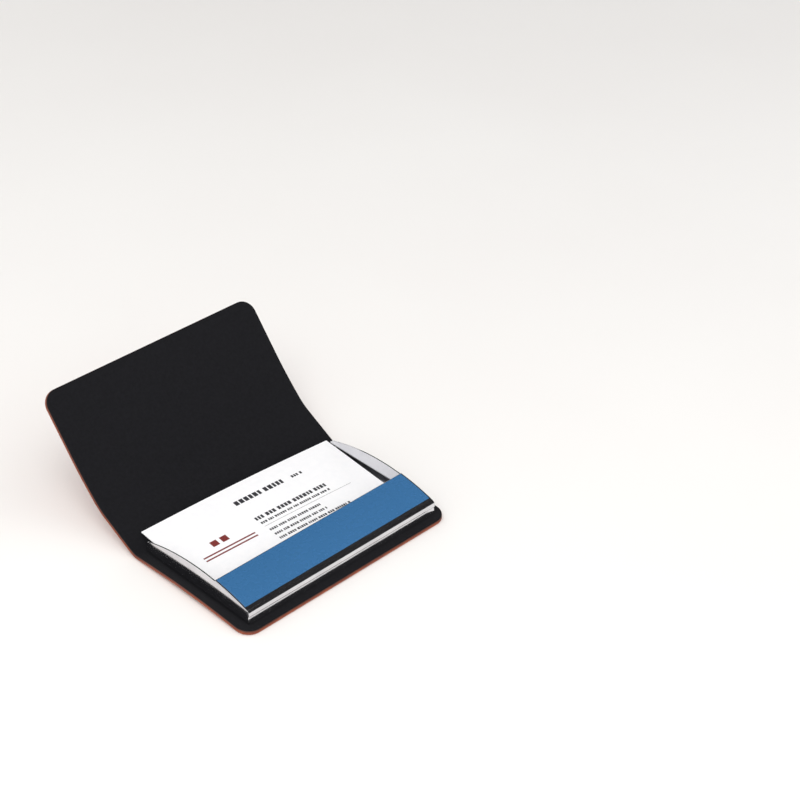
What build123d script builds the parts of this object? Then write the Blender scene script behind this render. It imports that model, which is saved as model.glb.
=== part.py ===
"""Flip business card case: a soft cover folded round a stainless card tray.

The case lies open on its back.  X runs across the width, -Y is the front edge, +Y is the
spine and Z is up.  The origin is at the middle of the base panel's underside.  Everything
in the cover is laid out on one outer profile in the YZ plane: the flat base panel, the base
fold, the spine, the lid fold and the curved lid.  A layer of the cover is the band between
two depths measured inward from that profile.  Units are millimetres.
"""

import os
from math import cos, radians, sin, sqrt

from build123d import *

# Cover
cover_width = 102.0
cover_corner = 6.0
leather_thickness = 0.9
board_thickness = 0.8
lining_thickness = 0.5
turned_edge = 1.0          # width of the leather turned up around each board
lining_inset = 0.5         # how far the lining stops short of the leather's edge

# Cover profile, from the front edge to the lid's edge
base_depth = 60.2
front_y = -30.0
base_fold_radius = 8.0
base_fold_angle = 28.0     # the spine leans back this far when the case lies open
spine_length = 4.5
lid_fold_length = 4.0
lid_root_length = 8.5
lid_crook_radius = 25.0
lid_crook_angle = 15.0
lid_sweep_radius = 170.0
lid_sweep_angle = 7.0
lid_end_length = 24.5

# Card tray
sheet = 0.5                # stainless sheet thickness
tape_thickness = 0.2
tray_width = 93.7
tray_front = front_y + 3.95
tray_rear = front_y + 60.4
tray_lip_top = 7.0
lip_flare = 0.4            # the lip's foot stands this far forward, below the band's edge
arc_radius = 90.0          # the side walls are topped by one long arc
arc_middle = front_y + 31.5
arc_top = 11.9
wall_tip_radius = 2.2
tray_bend = 0.9            # outside radius of the bends round the floor

# Front band and its film
band_sheet = 0.45
band_front = front_y + 3.5
band_rear = front_y + 21.6
band_bottom = 5.7
band_bend = 1.7
film_thickness = 0.12
film_front = front_y + 6.0
film_side_gap = 0.6
film_rear_gap = 0.3

# Fixings
tape_width = 14.0
tape_length = 44.0
tape_spacing = 52.0
magnet_diameter = 10.0
magnet_spacing = 60.0
magnet_edge_distance = 9.0

# Card
card_width = 90.0
card_depth = 49.4
card_thickness = 0.35
card_corner = 0.4
card_turn = -2.8           # the card lies a little askew in the tray
card_tilt = 2.8            # and its rear edge rests on the rising lining
card_rear_left = (-43.7, front_y + 66.8, 6.15)

board_top = leather_thickness + board_thickness
panel_thickness = board_top + lining_thickness
tray_bottom = panel_thickness + tape_thickness
tray_floor = tray_bottom + sheet

# Each stretch of the profile is a list of runs: (length,) is straight, (radius, angle) bends
base_fold_runs = [(base_fold_radius, base_fold_angle)]
spine_runs = [(spine_length,)]
lid_fold_runs = [(lid_fold_length,)]
lid_runs = [
    (lid_root_length,),
    (lid_crook_radius, lid_crook_angle),
    (lid_sweep_radius, lid_sweep_angle),
    (lid_end_length,),
]


def heading_vector(heading):
    """Unit vector along the profile, in the YZ sketch plane."""
    return Vector(cos(radians(heading)), sin(radians(heading)))


def inward_vector(heading):
    """Unit vector from the outer face towards the lining, in the YZ sketch plane."""
    return Vector(-sin(radians(heading)), cos(radians(heading)))


def follow(start, heading, runs):
    """Where the outer face is, and its heading, at the end of a list of runs."""
    point = Vector(*start)
    for run in runs:
        if len(run) == 1:
            point = point + heading_vector(heading) * run[0]
            continue
        radius, angle = run
        centre = point + inward_vector(heading) * radius
        heading += angle
        point = centre - inward_vector(heading) * radius
    return (point.X, point.Y), heading


def draw_surface(start, heading, runs, depth):
    """Draw one surface, depth mm in from the outer face, into the current BuildLine."""
    point = Vector(*start) + inward_vector(heading) * depth
    first = point
    for run in runs:
        along = heading_vector(heading)
        if len(run) == 1:
            edge = Line(point, point + along * run[0])
        else:
            radius, angle = run
            edge = JernArc(point, along, radius - depth, angle)
            heading += angle
        point = edge @ 1
    return first, point


def cover_layer(start, heading, runs, near, far, width):
    """One layer of the cover between two depths, extruded across the width."""
    with BuildPart() as layer:
        with BuildSketch(Plane.YZ):
            with BuildLine():
                near_first, near_last = draw_surface(start, heading, runs, near)
                far_first, far_last = draw_surface(start, heading, runs, far)
                Line(near_first, far_first)
                Line(near_last, far_last)
            make_face()
        extrude(amount=width / 2, both=True)
    return layer.part


def base_layer(near, far, inset):
    """One flat layer of the base panel with its two rounded front corners."""
    width = cover_width - 2 * inset
    radius = cover_corner - inset
    with BuildPart() as layer:
        with BuildSketch(Plane.XY.offset(near)):
            with Locations((0, front_y + (base_depth + inset) / 2)):
                Rectangle(width, base_depth - inset)
        extrude(amount=far - near)
        fillet(layer.edges().filter_by(Axis.Z).group_by(Axis.Y)[0], radius)
    return layer.part


spine_start, spine_heading = follow((front_y + base_depth, 0), 0, base_fold_runs)
lid_fold_start, lid_fold_heading = follow(spine_start, spine_heading, spine_runs)
lid_start, lid_heading = follow(lid_fold_start, lid_fold_heading, lid_fold_runs)
lid_tip, tip_heading = follow(lid_start, lid_heading, lid_runs)

tip_inward = inward_vector(tip_heading)
lid_end_plane = Plane(
    origin=(0, lid_tip[0], lid_tip[1]),
    x_dir=(1, 0, 0),
    z_dir=(0, tip_inward.X, tip_inward.Y),
)


def lid_layer(near, far, inset):
    """One curved layer of the lid with its two rounded far corners."""
    outline_length = 200
    with BuildPart() as layer:
        add(cover_layer(lid_start, lid_heading, lid_runs, near, far, cover_width))
        with BuildSketch(lid_end_plane):
            with Locations((0, -inset - outline_length / 2)):
                RectangleRounded(cover_width - 2 * inset, outline_length, cover_corner - inset)
        extrude(amount=outline_length / 2, both=True, mode=Mode.INTERSECT)
    return layer.part


os.makedirs("parts", exist_ok=True)


def save(part, name):
    part.label = name
    export_step(part, f"parts/{name}.step")


# Base panel of the cover
leather_slab = base_layer(0, board_top, 0)
leather_pocket = base_layer(leather_thickness, board_top, turned_edge)
with BuildPart() as base_leather:
    add(leather_slab)
    add(leather_pocket, mode=Mode.SUBTRACT)
save(base_leather.part, "base_leather")

with BuildPart() as base_board:
    add(leather_pocket)
save(base_board.part, "base_board")

with BuildPart() as base_lining:
    add(base_layer(board_top, panel_thickness, lining_inset))
save(base_lining.part, "base_lining")

# Folds: leather and lining with no board between them
lining_width = cover_width - 2 * lining_inset
base_fold_start = (front_y + base_depth, 0)
fold_places = {
    "base_fold": (base_fold_start, 0, base_fold_runs),
    "lid_fold": (lid_fold_start, lid_fold_heading, lid_fold_runs),
}
for fold_name, place in fold_places.items():
    with BuildPart() as fold_leather:
        add(cover_layer(*place, 0, leather_thickness, cover_width))
    save(fold_leather.part, f"{fold_name}_leather")
    with BuildPart() as fold_lining:
        add(cover_layer(*place, board_top, panel_thickness, lining_width))
    save(fold_lining.part, f"{fold_name}_lining")

# Spine
spine_place = (spine_start, spine_heading, spine_runs)
strip_width = cover_width - 2 * turned_edge
spine_pocket = cover_layer(*spine_place, leather_thickness, board_top, strip_width)
with BuildPart() as spine_leather:
    add(cover_layer(*spine_place, 0, board_top, cover_width))
    add(spine_pocket, mode=Mode.SUBTRACT)
save(spine_leather.part, "spine_leather")

with BuildPart() as spine_strip:
    add(spine_pocket)
save(spine_strip.part, "spine_strip")

with BuildPart() as spine_lining:
    add(cover_layer(*spine_place, board_top, panel_thickness, lining_width))
save(spine_lining.part, "spine_lining")

# Lid
lid_outer = lid_layer(0, board_top, 0)
lid_pocket = lid_layer(leather_thickness, board_top, turned_edge)
with BuildPart() as lid_leather:
    add(lid_outer)
    add(lid_pocket, mode=Mode.SUBTRACT)
save(lid_leather.part, "lid_leather")

magnet_centres = [(-magnet_spacing / 2, -magnet_edge_distance), (magnet_spacing / 2, -magnet_edge_distance)]
with BuildPart() as lid_magnets:
    with BuildSketch(lid_end_plane.offset(leather_thickness)):
        with Locations(*magnet_centres):
            Circle(magnet_diameter / 2)
    extrude(amount=board_thickness)
save(lid_magnets.part, "lid_magnets")

with BuildPart() as lid_board:
    add(lid_pocket)
    add(lid_magnets.part, mode=Mode.SUBTRACT)
save(lid_board.part, "lid_board")

with BuildPart() as lid_lining:
    add(lid_layer(board_top, panel_thickness, lining_inset))
save(lid_lining.part, "lid_lining")

# Two strips of double-sided tape hold the tray down on the lining
with BuildPart() as tray_tape:
    with BuildSketch(Plane.XY.offset(panel_thickness)):
        with Locations((0, (tray_front + tray_rear) / 2)):
            with GridLocations(tape_spacing, 0, 2, 1):
                Rectangle(tape_width, tape_length)
    extrude(amount=tape_thickness)
save(tray_tape.part, "tray_tape")


# Card tray: a flat floor, a front lip and two side walls topped by a long arc
def arc_height(y, lift=0.0):
    """Height of the arc over the side walls, lifted radially by the band's thickness."""
    radius = arc_radius + lift
    return arc_top - arc_radius + sqrt(radius**2 - (y - arc_middle) ** 2)


def wall_arc(y_start, y_end, lift=0.0):
    """Draw the side walls' top arc from y_start to y_end."""
    y_middle = (y_start + y_end) / 2
    return ThreePointArc(
        (y_start, arc_height(y_start, lift)),
        (y_middle, arc_height(y_middle, lift)),
        (y_end, arc_height(y_end, lift)),
    )


with BuildPart() as card_tray:
    with BuildSketch(Plane.YZ) as wall_profile:
        with BuildLine():
            top = wall_arc(tray_front, tray_rear)
            rear = Line(top @ 1, (tray_rear, tray_bottom))
            bottom = Line(rear @ 1, (tray_front - lip_flare, tray_bottom))
            foot = Line(bottom @ 1, (tray_front, band_bottom))
            Line(foot @ 1, top @ 0)
        make_face()
        rear_tip = wall_profile.vertices().sort_by_distance(top @ 1)[0]
        fillet(rear_tip, wall_tip_radius)
        front_tip = wall_profile.vertices().sort_by_distance(top @ 0)[0]
        fillet(front_tip, band_bend - band_sheet)
    extrude(amount=tray_width / 2, both=True)
    fillet(card_tray.faces().sort_by(Axis.Z)[0].edges().filter_by(Axis.Y), tray_bend)
    inner_front = tray_front + sheet
    floor_flare = lip_flare * (band_bottom - tray_floor) / (band_bottom - tray_bottom)
    inner_profile = [
        (inner_front, arc_top),
        (inner_front, band_bottom),
        (inner_front - floor_flare, tray_floor),
        (tray_rear + sheet, tray_floor),
        (tray_rear + sheet, arc_top),
    ]
    with BuildSketch(Plane.YZ):
        with BuildLine():
            Polyline(*inner_profile, close=True)
        make_face()
    extrude(amount=tray_width / 2 - sheet, both=True, mode=Mode.SUBTRACT)
    with BuildSketch(Plane.XY.offset(tray_lip_top)):
        with Locations((0, tray_front)):
            Rectangle(tray_width - 2 * sheet, 2 * sheet)
    extrude(amount=arc_top, mode=Mode.SUBTRACT)
save(card_tray.part, "card_tray")

# Front band: a strip laid on the walls' arc and bent down over the tray's front lip
with BuildPart() as front_band:
    with BuildSketch(Plane.YZ) as band_profile:
        with BuildLine():
            outer_arc = wall_arc(band_rear, band_front, band_sheet)
            outer_face = Line(outer_arc @ 1, (band_front, band_bottom))
            lower_edge = Line(outer_face @ 1, (band_front + band_sheet, band_bottom))
            inner_face = Line(lower_edge @ 1, (band_front + band_sheet, arc_height(band_front + band_sheet)))
            inner_arc = wall_arc(band_front + band_sheet, band_rear)
            Line(inner_arc @ 1, outer_arc @ 0)
        make_face()
        outer_corner = outer_arc @ 1
        inner_corner = inner_face @ 1
        for corner, radius in ((outer_corner, band_bend), (inner_corner, band_bend - band_sheet)):
            fillet(band_profile.vertices().sort_by_distance(corner)[0], radius)
    extrude(amount=tray_width / 2, both=True)
save(front_band.part, "front_band")

# Protective film on the band
film_rear = band_rear - film_rear_gap
with BuildPart() as band_film:
    with BuildSketch(Plane.YZ):
        with BuildLine():
            film_under = wall_arc(film_front, film_rear, band_sheet)
            film_over = wall_arc(film_front, film_rear, band_sheet + film_thickness)
            Line(film_under @ 0, film_over @ 0)
            Line(film_under @ 1, film_over @ 1)
        make_face()
    extrude(amount=tray_width / 2 - film_side_gap, both=True)
save(band_film.part, "band_film")

# Business card, askew in the tray and propped on the lining at its rear edge
level_card = Plane(origin=card_rear_left).rotated((0, 0, card_turn))
card_plane = level_card.rotated((card_tilt, 0, 0))
with BuildPart() as business_card:
    with BuildSketch(card_plane):
        with Locations((card_width / 2, -card_depth / 2)):
            RectangleRounded(card_width, card_depth, card_corner)
    extrude(amount=-card_thickness)
save(business_card.part, "business_card")
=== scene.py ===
import random
from math import cos, pi, radians, sin

import bmesh
import bpy
from mathutils import Matrix, Vector, noise


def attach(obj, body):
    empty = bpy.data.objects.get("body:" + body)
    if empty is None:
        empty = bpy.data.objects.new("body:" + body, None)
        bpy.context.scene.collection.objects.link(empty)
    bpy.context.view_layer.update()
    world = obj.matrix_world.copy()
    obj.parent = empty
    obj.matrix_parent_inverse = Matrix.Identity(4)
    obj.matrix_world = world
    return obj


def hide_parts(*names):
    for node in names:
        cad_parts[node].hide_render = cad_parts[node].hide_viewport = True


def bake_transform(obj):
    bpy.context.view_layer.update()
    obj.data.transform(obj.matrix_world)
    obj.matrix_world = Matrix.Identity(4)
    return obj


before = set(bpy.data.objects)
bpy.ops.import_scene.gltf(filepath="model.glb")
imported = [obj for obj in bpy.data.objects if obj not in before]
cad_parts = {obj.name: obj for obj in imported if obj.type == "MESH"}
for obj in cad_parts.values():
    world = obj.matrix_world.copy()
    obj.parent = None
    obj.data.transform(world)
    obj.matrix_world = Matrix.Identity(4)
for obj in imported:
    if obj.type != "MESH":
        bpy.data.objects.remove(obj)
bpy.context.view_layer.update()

MM = 0.001

# The cover's outer profile, in mm and degrees. From the base fold it rises straight through the
# spine and the lid fold, then the lid turns up in a tight crook and a long shallow sweep.
BASE_LENGTH = 60.2
BASE_FOLD_RADIUS, BASE_FOLD_TURN = 8.0, 28.0
SPINE_LENGTH = 4.5
LID_FOLD_LENGTH = 4.0
LID_START_LENGTH = 8.5
CROOK_RADIUS, CROOK_TURN = 25.0, 15.0
SWEEP_RADIUS, SWEEP_TURN = 170.0, 7.0
LID_END_LENGTH = 24.5
BASE_FOLD_LENGTH = BASE_FOLD_RADIUS * radians(BASE_FOLD_TURN)

# The profile as (length, turn) from the front edge to the lid's edge
RUNS = [
    (BASE_LENGTH, 0.0),
    (BASE_FOLD_LENGTH, BASE_FOLD_TURN),
    (SPINE_LENGTH, 0.0),
    (LID_FOLD_LENGTH, 0.0),
    (LID_START_LENGTH, 0.0),
    (CROOK_RADIUS * radians(CROOK_TURN), CROOK_TURN),
    (SWEEP_RADIUS * radians(SWEEP_TURN), SWEEP_TURN),
    (LID_END_LENGTH, 0.0),
]
COVER_LENGTH = sum(length for length, _ in RUNS)
COVER_SPLIT = BASE_LENGTH + BASE_FOLD_LENGTH + SPINE_LENGTH / 2
COVER_FRONT = -30.0
COVER_WIDTH = 102.0
CORNER = 6.0

# The cover's edge, in mm: depths are measured inward from the outer face
PANEL = 2.2
LEATHER_TOP = 1.85
LEATHER_ROLL = 0.6
LEATHER_CHAMFER = 0.05
LEATHER_LAP = 0.3
LINING_LAP = 0.06
LINING_TUCK = 0.1
ROLL_STEPS = 6
LINING_STEPS = 5

# How far and from where the base panel's sides curl up, in mm, and how steeply
SIDE_LIFT = 1.5
SIDE_LIFT_FROM = 46.3
SIDE_LIFT_POWER = 1.5
RIGHT_LIFT_SHARE = 0.5

# The mesh: columns across, mm between rows, and rows round each corner
COLUMNS = 68
ROW_STEP = 1.0
CORNER_ROWS = 10

# The waviness of each layer, in mm: its height, and the sizes of its broad and fine waves
LEATHER_WAVER, LINING_WAVER = 0.04, 0.03
BROAD_WAVE, FINE_WAVE, DEPTH_WAVE = 17, 5, 40
FINE_SHARE, FINE_OFFSET = 0.4, 7.0

# The card, in mm and degrees
CARD_WIDTH, CARD_DEPTH, CARD_THICKNESS = 90.0, 49.4, 0.35
CARD_REAR_LEFT = (-43.7, 36.8, 6.15)
CARD_TURN, CARD_TILT = -2.8, 2.8
CARD_BOW = 0.8
CARD_COLUMNS, CARD_ROWS = 45, 24

# The print on the card: (across, down, length, height) in mm
TEXT_LINES = [
    (36.5, 8.2, 25.0, 2.4),
    (64.0, 8.9, 6.0, 1.4),
    (37.2, 20.0, 35.0, 1.9),
    (37.5, 23.4, 34.0, 1.1),
    (37.8, 28.2, 25.5, 1.15),
    (37.8, 31.2, 26.0, 1.15),
    (37.8, 34.0, 35.0, 1.15),
]
RULE = (37.5, 26.0, 42.5, 0.14)
MARK_BARS = [
    (8.5, 26.2, 24.0, 0.7),
    (8.5, 27.9, 24.0, 0.7),
    (15.5, 20.6, 3.0, 3.0),
    (20.0, 20.6, 3.0, 3.0),
]
PRINT_LIFT = 0.012
PRINT_STEP = 2.0
PRINT_SEED = 11

# The rhythm of a line of print: blocks in a word, then widths and gaps as shares of its height
WORD_BLOCKS = (3, 6)
BLOCK_WIDTHS = (0.45, 0.8)
BLOCK_GAP, WORD_GAP = 0.22, 0.45

# The studio, in metres, watts and degrees
FLOOR_SIZE = 5.0
OBJECT_MIDDLE = (0, 0.02, 0)
WORLD_COLOUR, WORLD_STRENGTH = (1.0, 0.99, 0.975, 1), 0.98
KEY_PLACE, KEY_SIZE, KEY_POWER, KEY_COLOUR = (-0.45, -0.25, 0.9), 0.7, 4.2, (1.0, 0.985, 0.96)
FILL_PLACE, FILL_SIZE, FILL_POWER, FILL_COLOUR = (0.7, -0.3, 0.6), 0.8, 1.2, (0.97, 0.98, 1.0)
FLAG_PLACE, FLAG_WIDTH, FLAG_HEIGHT = (0.68, 0.3, 0.8), 1.5, 0.85
SIDE_FLAG_PLACE, SIDE_FLAG_WIDTH, SIDE_FLAG_HEIGHT = (0.8, -0.75, 0.72), 1.2, 1.3
CAMERA_AZIMUTH, CAMERA_ELEVATION, CAMERA_ROLL = -46.14, 34.32, 1.76
CAMERA_TARGET, CAMERA_DISTANCE = (0.0940, 0.0387, 0.0), 0.837
CAMERA_SENSOR, CAMERA_LENS = 36.0, 91.41


# ---------------------------------------------------------------- geometry
def profile(along):
    """Outer face point (y, z) and heading in radians at a distance along the profile, in mm."""
    y, z, heading = COVER_FRONT, 0.0, 0.0
    for length, turn in RUNS:
        step = min(along, length)
        bend = radians(turn) * step / length
        if turn:
            radius = length / radians(turn)
            y += radius * (sin(heading + bend) - sin(heading))
            z += radius * (cos(heading) - cos(heading + bend))
        else:
            y += step * cos(heading)
            z += step * sin(heading)
        heading += bend
        along -= step
        if along <= 0:
            break
    return y, z, heading


def side_lift(x, along):
    """How far the base panel's side edges curl up off the table, in mm."""
    if along >= COVER_SPLIT or abs(x) <= SIDE_LIFT_FROM:
        return 0.0
    reach = (abs(x) - SIDE_LIFT_FROM) / (COVER_WIDTH / 2 - SIDE_LIFT_FROM)
    share = 1.0 if x < 0 else RIGHT_LIFT_SHARE
    return share * SIDE_LIFT * reach**SIDE_LIFT_POWER * sin(pi * along / COVER_SPLIT)


def cover_point(x, along, depth):
    """A point of the cover, depth mm in from its outer face, in metres."""
    y, z, heading = profile(along)
    z += side_lift(x, along)
    return Vector((x, y - depth * sin(heading), z + depth * cos(heading))) * MM


def cover_rows(first, last):
    """Rows across the cover: place, shift per mm of inset, half width, narrowing per mm of inset."""
    rows = []
    half, inner_half = COVER_WIDTH / 2, COVER_WIDTH / 2 - CORNER
    corner_turns = [pi / 2 * k / CORNER_ROWS for k in range(CORNER_ROWS)]
    start, end = first, last
    if first == 0:
        start = CORNER
        for turn in corner_turns:
            width = inner_half + CORNER * sin(turn)
            rows.append((CORNER - CORNER * cos(turn), cos(turn), width, sin(turn)))
    if last == COVER_LENGTH:
        end = COVER_LENGTH - CORNER
    count = round((end - start) / ROW_STEP)
    for k in range(count + 1):
        rows.append((start + (end - start) * k / count, 0.0, half, 1.0))
    if last == COVER_LENGTH:
        for turn in reversed(corner_turns):
            width = inner_half + CORNER * sin(turn)
            rows.append((end + CORNER * cos(turn), -cos(turn), width, sin(turn)))
    return rows


def new_object(name, points, faces, smooth=False):
    mesh = bpy.data.meshes.new(name)
    mesh.from_pydata(points, [], faces)
    mesh.validate()
    obj = bpy.data.objects.new(name, mesh)
    bpy.context.scene.collection.objects.link(obj)
    for polygon in mesh.polygons:
        polygon.use_smooth = smooth
    return obj


def face_outward(obj, cut_face):
    """Turn every face outward, and keep the shading crisp round the face at the slab's cut end."""
    shape = bmesh.new()
    shape.from_mesh(obj.data)
    bmesh.ops.recalc_face_normals(shape, faces=shape.faces)
    shape.faces.ensure_lookup_table()
    shape.faces[cut_face].smooth = False
    for edge in shape.faces[cut_face].edges:
        edge.smooth = False
    shape.to_mesh(obj.data)
    shape.free()


def cover_slab(name, first, last, section, waver):
    """One layer of the cover; section is its edge as (inset, depth) points, outer face first."""
    rows = cover_rows(first, last)
    points, faces, depths = [], [], []

    def place(row, column, inset, depth):
        along, shift, half, narrowing = rows[row]
        along += inset * shift
        x = (half - inset * narrowing) * (2 * column / COLUMNS - 1)
        broad = noise.noise(Vector((x / BROAD_WAVE, along / BROAD_WAVE, depth / DEPTH_WAVE)))
        fine = noise.noise(Vector((x / FINE_WAVE, along / FINE_WAVE, FINE_OFFSET)))
        points.append(cover_point(x, along, depth + waver * (broad + FINE_SHARE * fine)))
        depths.append(depth)
        return len(points) - 1

    def grid(inset, depth):
        cells = [
            [place(r, c, inset, depth) for c in range(COLUMNS + 1)] for r in range(len(rows))
        ]
        for row, next_row in zip(cells, cells[1:]):
            for c in range(COLUMNS):
                faces.append((row[c], next_row[c], next_row[c + 1], row[c + 1]))
        return cells

    # The rim runs from the cut end round the rounded end and back to the cut end
    last_row = len(rows) - 1
    cut_row, end_row, step = (last_row, 0, -1) if first == 0 else (0, last_row, 1)
    sides = range(cut_row, end_row, step)
    rim = [(r, 0) for r in sides] + [(end_row, c) for c in range(COLUMNS + 1)]
    rim += [(r, COLUMNS) for r in reversed(sides)]
    outer, inner = grid(*section[0]), grid(*section[-1])
    loops = [[outer[r][c] for r, c in rim]]
    for inset, depth in section[1:-1]:
        loops.append([place(r, c, inset, depth) for r, c in rim])
    loops.append([inner[r][c] for r, c in rim])
    for near, far in zip(loops, loops[1:]):
        for k in range(len(rim) - 1):
            faces.append((near[k], near[k + 1], far[k + 1], far[k]))
    cut_face = len(faces)
    left, right = [[loop[k] for loop in loops[1:-1]] for k in (0, -1)]
    faces.append([*outer[cut_row], *right, *inner[cut_row][::-1], *left[::-1]])
    slab = new_object(name, points, faces, smooth=True)
    face_outward(slab, cut_face)
    rise = slab.data.attributes.new("edge_rise", "FLOAT", "POINT")
    for value, depth in zip(rise.data, depths):
        value.value = depth
    return slab


def quarter_turn(steps):
    return [pi / 2 * k / steps for k in range(steps + 1)]


def leather_edge():
    """The leather's edge rolls up from the outer face and stops under the lining's edge."""
    rolled = [
        (LEATHER_ROLL * (1 - sin(turn)), LEATHER_ROLL * (1 - cos(turn)))
        for turn in quarter_turn(ROLL_STEPS)
    ]
    chamfer = (LEATHER_CHAMFER, LEATHER_TOP - LEATHER_CHAMFER)
    return [*rolled, chamfer, (LEATHER_LAP, LEATHER_TOP)]


def lining_edge():
    """The lining's edge starts under the leather's and rounds over onto the inner face."""
    roll = PANEL - LEATHER_TOP - LINING_TUCK
    rounded = [
        (LINING_LAP + roll * (1 - cos(turn)), PANEL - roll + roll * sin(turn))
        for turn in quarter_turn(LINING_STEPS)
    ]
    tucked = (LINING_LAP + LINING_TUCK, LEATHER_TOP - LINING_TUCK)
    return [tucked, (LINING_LAP, LEATHER_TOP), *rounded]


def card_frame():
    """The card's own frame, in mm: its rear left corner, turned and tilted."""
    turn = Matrix.Rotation(radians(CARD_TURN), 4, "Z")
    tilt = Matrix.Rotation(radians(CARD_TILT), 4, "X")
    return Matrix.Translation(CARD_REAR_LEFT) @ turn @ tilt


def card_point(across, down, lift):
    """A point over the card: across from its left edge, down from its rear edge, lift above it."""
    span = sin(pi * across / CARD_WIDTH)
    bow = CARD_BOW * span * (1 - down / CARD_DEPTH)
    return (card_frame() @ Vector((across, -down, bow + lift))) * MM


def make_card():
    columns, rows = CARD_COLUMNS, CARD_ROWS
    points, faces = [], []
    for lift in (0.0, -CARD_THICKNESS):
        for r in range(rows + 1):
            for c in range(columns + 1):
                points.append(card_point(CARD_WIDTH * c / columns, CARD_DEPTH * r / rows, lift))
    layer = (rows + 1) * (columns + 1)
    for r in range(rows):
        for c in range(columns):
            a = r * (columns + 1) + c
            b = a + columns + 1
            faces.append((a, b, b + 1, a + 1))
            faces.append((layer + a, layer + a + 1, layer + b + 1, layer + b))
    rim = list(range(columns))
    rim += [r * (columns + 1) + columns for r in range(rows)]
    rim += [rows * (columns + 1) + c for c in range(columns, 0, -1)]
    rim += [r * (columns + 1) for r in range(rows, 0, -1)]
    for a, b in zip(rim, rim[1:] + rim[:1]):
        faces.append((a, b, layer + b, layer + a))
    return new_object("card_sheet", points, faces)


def print_bars(name, bars):
    """Plain bars of ink on the card, each (across, down, length, height) in mm."""
    points, faces = [], []
    for across, down, length, height in bars:
        steps = max(1, round(length / PRINT_STEP))
        base = len(points)
        for k in range(steps + 1):
            for edge in (0, height):
                points.append(card_point(across + length * k / steps, down + edge, PRINT_LIFT))
        for k in range(steps):
            a = base + 2 * k
            faces.append((a, a + 1, a + 3, a + 2))
    return new_object(name, points, faces)


def greeked_line(across, down, length, height, draw):
    """A line of plain blocks with the rhythm of words."""
    bars, done = [], 0.0
    while done < length - height:
        for _ in range(draw.randint(*WORD_BLOCKS)):
            block = draw.uniform(*BLOCK_WIDTHS) * height
            if done + block > length:
                break
            bars.append((across + done, down, block, height))
            done += block + BLOCK_GAP * height
        done += WORD_GAP * height
    return bars


# ---------------------------------------------------------------- materials
def new_material(name, roughness=0.5, metallic=0.0):
    material = bpy.data.materials.new(name)
    material.use_nodes = True
    shader = material.node_tree.nodes["Principled BSDF"]
    shader.inputs["Roughness"].default_value = roughness
    shader.inputs["Metallic"].default_value = metallic
    return material, shader


def add_node(material, kind, **values):
    node = material.node_tree.nodes.new(kind)
    for name, value in values.items():
        node.inputs[name.replace("_", " ")].default_value = value
    return node


def join(material, source, target):
    material.node_tree.links.new(source, target)


def object_noise(material, scale, detail=4.0, stretch=(1, 1, 1)):
    """Noise in the object's own coordinates; scale is in features per metre."""
    place = add_node(material, "ShaderNodeTexCoord")
    mapping = add_node(material, "ShaderNodeMapping")
    mapping.inputs["Scale"].default_value = stretch
    texture = add_node(material, "ShaderNodeTexNoise", Scale=scale, Detail=detail)
    join(material, place.outputs["Object"], mapping.inputs["Vector"])
    join(material, mapping.outputs["Vector"], texture.inputs["Vector"])
    return texture.outputs[0]


def object_cells(material, scale):
    """Voronoi cells in the object's own coordinates, as distance from each cell's middle."""
    place = add_node(material, "ShaderNodeTexCoord")
    texture = add_node(material, "ShaderNodeTexVoronoi", Scale=scale)
    join(material, place.outputs["Object"], texture.inputs["Vector"])
    return texture.outputs["Distance"]


def tint(material, shader, factor, dark, light, low=0.35, high=0.65):
    """Base colour running from dark to light as factor runs from low to high."""
    ramp = add_node(material, "ShaderNodeValToRGB")
    ramp.color_ramp.elements[0].position = low
    ramp.color_ramp.elements[1].position = high
    ramp.color_ramp.elements[0].color = (*dark, 1)
    ramp.color_ramp.elements[1].color = (*light, 1)
    join(material, factor, ramp.inputs[0])
    join(material, ramp.outputs[0], shader.inputs["Base Color"])
    return ramp.outputs[0]


def spread(material, value, from_low, from_high, to_low, to_high):
    """Value, with the range from_low to from_high carried over to to_low to to_high."""
    mapped = add_node(
        material,
        "ShaderNodeMapRange",
        From_Min=from_low,
        From_Max=from_high,
        To_Min=to_low,
        To_Max=to_high,
    )
    join(material, value, mapped.inputs["Value"])
    return mapped.outputs["Result"]


def roughen(material, shader, factor, low, high):
    """Roughness running from low to high over the noise's middle range."""
    join(material, spread(material, factor, 0.3, 0.7, low, high), shader.inputs["Roughness"])


def bump(material, shader, height, distance, strength, under=None):
    bumps = add_node(material, "ShaderNodeBump", Distance=distance, Strength=strength)
    join(material, height, bumps.inputs["Height"])
    if under is not None:
        join(material, under, bumps.inputs["Normal"])
    join(material, bumps.outputs["Normal"], shader.inputs["Normal"])
    return bumps.outputs["Normal"]


def leather_material():
    """Tan leather, mottled and finely grained, darkened up its edge by painted shade and burnish."""
    material, shader = new_material("cover_leather")
    mottle = object_noise(material, 260, 6)
    colour = tint(material, shader, mottle, (0.26, 0.048, 0.016), (0.36, 0.076, 0.023))
    # Painted shade and burnish: the leather's colour is multiplied down towards 0.22 as its edge
    # rises towards the lining
    rise = add_node(material, "ShaderNodeAttribute")
    rise.attribute_name = "edge_rise"
    shade_and_burnish = spread(material, rise.outputs["Fac"], 0.5, 1.7, 1.0, 0.22)
    darken = add_node(material, "ShaderNodeMixRGB")
    darken.blend_type = "MULTIPLY"
    darken.inputs[0].default_value = 1.0
    join(material, colour, darken.inputs[1])
    join(material, shade_and_burnish, darken.inputs[2])
    join(material, darken.outputs[0], shader.inputs["Base Color"])
    roughen(material, shader, object_noise(material, 900), 0.42, 0.62)
    coarse = bump(material, shader, object_cells(material, 1500), 0.00006, 0.8)
    bump(material, shader, object_noise(material, 5200), 0.00003, 0.5, coarse)
    return material


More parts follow.
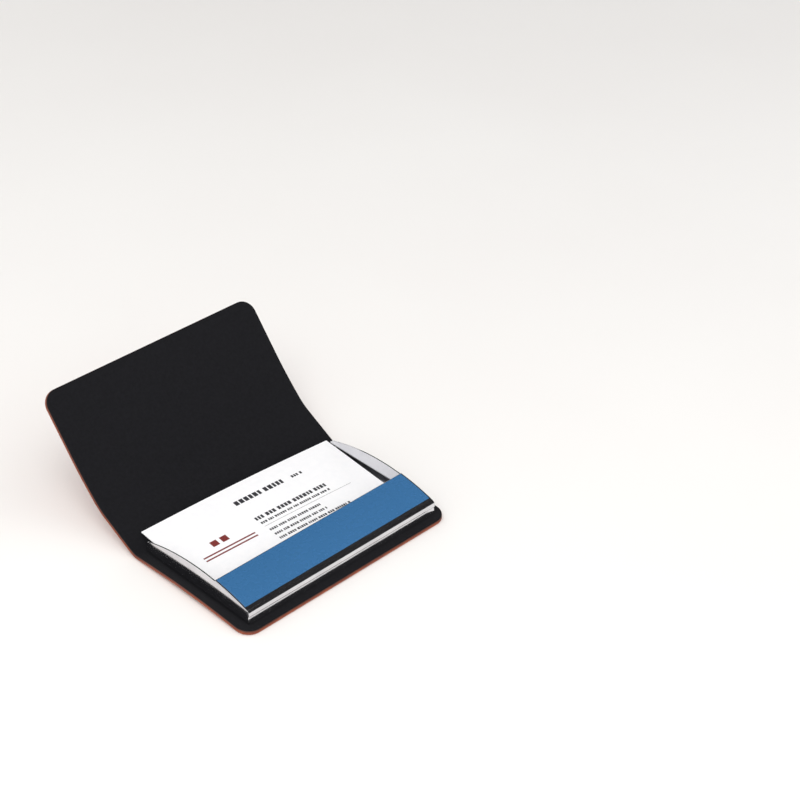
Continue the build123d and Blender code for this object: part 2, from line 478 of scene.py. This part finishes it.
def lining_material():
    """Black lining with a short matt nap."""
    material, shader = new_material("lining")
    fibres = object_noise(material, 900, 8)
    tint(material, shader, fibres, (0.0062, 0.0062, 0.008), (0.0085, 0.0085, 0.0108))
    shader.inputs["Sheen Weight"].default_value = 0.03
    shader.inputs["Sheen Roughness"].default_value = 0.5
    shader.inputs["Specular IOR Level"].default_value = 0.14
    roughen(material, shader, object_noise(material, 2200), 0.8, 0.92)
    bump(material, shader, object_noise(material, 7000, 6), 0.00005, 0.5)
    return material


def steel_material(name, roughness, edge):
    """Polished stainless with softened sheet edges and faint handling marks."""
    material, shader = new_material(name, metallic=1.0)
    tint(material, shader, object_noise(material, 120, 3), (0.66, 0.66, 0.685), (0.74, 0.74, 0.76))
    marks = object_noise(material, 420, 8, (1, 6, 6))
    roughen(material, shader, marks, roughness * 0.8, roughness * 1.5)
    soft_edge = add_node(material, "ShaderNodeBevel", Radius=edge)
    ripple = object_noise(material, 90, 2)
    bump(material, shader, ripple, 0.00004, 0.25, soft_edge.outputs["Normal"])
    return material


def film_material():
    """Blue protective film lying on the band, a little rippled."""
    material, shader = new_material("protective_film", metallic=0.25)
    cloud = object_noise(material, 25, 2)
    tint(material, shader, cloud, (0.046, 0.178, 0.40), (0.052, 0.192, 0.43), 0.2, 0.8)
    shader.inputs["Coat Weight"].default_value = 0.4
    shader.inputs["Coat Roughness"].default_value = 0.12
    roughen(material, shader, object_noise(material, 400, 2), 0.25, 0.29)
    bump(material, shader, object_noise(material, 40, 0), 0.0002, 0.12)
    return material


def card_material():
    material, shader = new_material("card_stock")
    tint(material, shader, object_noise(material, 400, 6), (0.92, 0.925, 0.95), (0.95, 0.95, 0.97))
    shader.inputs["Coat Weight"].default_value = 0.15
    shader.inputs["Coat Roughness"].default_value = 0.3
    bump(material, shader, object_noise(material, 3500), 0.00001, 0.4)
    return material


def ink_material(name, dark, light):
    material, shader = new_material(name)
    tint(material, shader, object_noise(material, 2500, 6), dark, light)
    return material


def board_material():
    material, shader = new_material("stiffener_board", 0.9)
    tint(material, shader, object_noise(material, 1500, 8), (0.2, 0.17, 0.13), (0.32, 0.28, 0.22))
    bump(material, shader, object_noise(material, 4000), 0.00005, 0.5)
    return material


def tape_material():
    material, shader = new_material("tape", 0.6)
    tint(material, shader, object_noise(material, 1200, 4), (0.6, 0.57, 0.48), (0.7, 0.68, 0.6))
    bump(material, shader, object_noise(material, 3000), 0.00002, 0.4)
    return material


def magnet_material():
    material, shader = new_material("magnet_plating", metallic=1.0)
    tint(material, shader, object_noise(material, 600, 4), (0.55, 0.54, 0.52), (0.66, 0.65, 0.63))
    roughen(material, shader, object_noise(material, 1500), 0.2, 0.35)
    return material


def floor_material():
    material, shader = new_material("pale_floor", 0.6)
    tint(material, shader, object_noise(material, 4, 3), (0.885, 0.87, 0.86), (0.905, 0.895, 0.885))
    shader.inputs["Specular IOR Level"].default_value = 0.2
    return material


def flag_material(name):
    material, shader = new_material(name, 0.9)
    tint(material, shader, object_noise(material, 6), (0.012, 0.012, 0.014), (0.02, 0.02, 0.022))
    return material


def dress(obj, material):
    obj.data.materials.clear()
    obj.data.materials.append(material)
    return obj


# ---------------------------------------------------------------- pieces
def add_leather():
    material = leather_material()
    edge = leather_edge()
    slab = cover_slab("cover_leather_front", 0, COVER_SPLIT, edge, LEATHER_WAVER)
    front = dress(slab, material)
    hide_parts("base_leather", "base_fold_leather", "spine_leather")
    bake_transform(front)
    slab = cover_slab("cover_leather_rear", COVER_SPLIT, COVER_LENGTH, edge, LEATHER_WAVER)
    rear = dress(slab, material)
    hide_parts("lid_fold_leather", "lid_leather")
    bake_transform(rear)


def add_lining():
    material = lining_material()
    edge = lining_edge()
    slab = cover_slab("cover_lining_front", 0, COVER_SPLIT, edge, LINING_WAVER)
    front = dress(slab, material)
    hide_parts("base_lining", "base_fold_lining", "spine_lining")
    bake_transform(front)
    slab = cover_slab("cover_lining_rear", COVER_SPLIT, COVER_LENGTH, edge, LINING_WAVER)
    rear = dress(slab, material)
    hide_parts("lid_fold_lining", "lid_lining")
    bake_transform(rear)


def add_card():
    card = dress(make_card(), card_material())
    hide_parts("business_card")
    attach(card, "card")
    draw = random.Random(PRINT_SEED)
    dark_bars = [bar for line in TEXT_LINES for bar in greeked_line(*line, draw)]
    dark_ink = ink_material("card_ink", (0.02, 0.02, 0.025), (0.04, 0.04, 0.048))
    ink = dress(print_bars("card_print", [*dark_bars, RULE]), dark_ink)
    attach(ink, "card")
    mark_ink = ink_material("mark_ink", (0.16, 0.02, 0.02), (0.24, 0.035, 0.03))
    mark = dress(print_bars("card_mark", MARK_BARS), mark_ink)
    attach(mark, "card")


def dress_cad_nodes():
    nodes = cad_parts
    board = board_material()
    for name in ("base_board", "spine_strip", "lid_board"):
        dress(nodes[name], board)
    dress(nodes["card_tray"], steel_material("tray_steel", roughness=0.09, edge=0.00015))
    dress(nodes["front_band"], steel_material("band_steel", roughness=0.05, edge=0.0002))
    dress(nodes["band_film"], film_material())
    dress(nodes["tray_tape"], tape_material())
    dress(nodes["lid_magnets"], magnet_material())


# ---------------------------------------------------------------- surroundings
def flat_panel(name, width, height):
    """A flat panel about the origin, in metres."""
    x, y = width / 2, height / 2
    return new_object(name, [(-x, -y, 0), (x, -y, 0), (x, y, 0), (-x, y, 0)], [(0, 1, 2, 3)])


def aim_at(obj, place, target):
    """Put an object at place, with its -Z axis towards target."""
    obj.location = place
    obj.rotation_euler = (Vector(target) - Vector(place)).to_track_quat("-Z", "Y").to_euler()


def add_floor():
    floor = flat_panel("floor", FLOOR_SIZE, FLOOR_SIZE)
    dress(floor, floor_material())


def add_flag(name, place, width, height, dims_light):
    """A dark panel, unseen by the camera, that gives the polished steel its dark lines.

    One that dims the light also takes a little of it from the scene."""
    flag = flat_panel(name, width, height)
    aim_at(flag, place, (0, 0, 0))
    dress(flag, flag_material(name))
    flag.visible_camera = False
    flag.visible_shadow = False
    flag.visible_diffuse = dims_light


def add_area_light(name, place, size, power, colour, in_reflections):
    light = bpy.data.lights.new(name, "AREA")
    light.shape = "DISK"
    light.size = size
    light.energy = power
    light.color = colour
    lamp = bpy.data.objects.new(name, light)
    aim_at(lamp, place, OBJECT_MIDDLE)
    lamp.visible_glossy = in_reflections
    bpy.context.scene.collection.objects.link(lamp)


def add_light():
    world = bpy.data.worlds.new("studio")
    world.use_nodes = True
    background = world.node_tree.nodes["Background"]
    background.inputs["Color"].default_value = WORLD_COLOUR
    background.inputs["Strength"].default_value = WORLD_STRENGTH
    bpy.context.scene.world = world
    add_area_light("key", KEY_PLACE, KEY_SIZE, KEY_POWER, KEY_COLOUR, in_reflections=True)
    add_area_light("fill", FILL_PLACE, FILL_SIZE, FILL_POWER, FILL_COLOUR, in_reflections=False)


def add_camera():
    """The camera looks down over the case's front left corner."""
    azimuth, elevation = radians(CAMERA_AZIMUTH), radians(CAMERA_ELEVATION)
    roll = radians(CAMERA_ROLL)
    back = Vector((sin(azimuth) * cos(elevation), -cos(azimuth) * cos(elevation), sin(elevation)))
    level_right = (-back).cross(Vector((0, 0, 1))).normalized()
    level_up = level_right.cross(-back)
    right = cos(roll) * level_right + sin(roll) * level_up
    up = cos(roll) * level_up - sin(roll) * level_right
    data = bpy.data.cameras.new("camera")
    data.sensor_width = CAMERA_SENSOR
    data.lens = CAMERA_LENS
    camera = bpy.data.objects.new("camera", data)
    place = Matrix((right, up, back)).transposed().to_4x4()
    place.translation = Vector(CAMERA_TARGET) + back * CAMERA_DISTANCE
    camera.matrix_world = place
    bpy.context.scene.collection.objects.link(camera)
    bpy.context.scene.camera = camera


add_leather()
add_lining()
add_card()
dress_cad_nodes()
add_floor()
add_flag("flag", FLAG_PLACE, FLAG_WIDTH, FLAG_HEIGHT, dims_light=True)
add_flag("side_flag", SIDE_FLAG_PLACE, SIDE_FLAG_WIDTH, SIDE_FLAG_HEIGHT, dims_light=False)
add_light()
add_camera()
bpy.context.scene.view_settings.view_transform = "Standard"
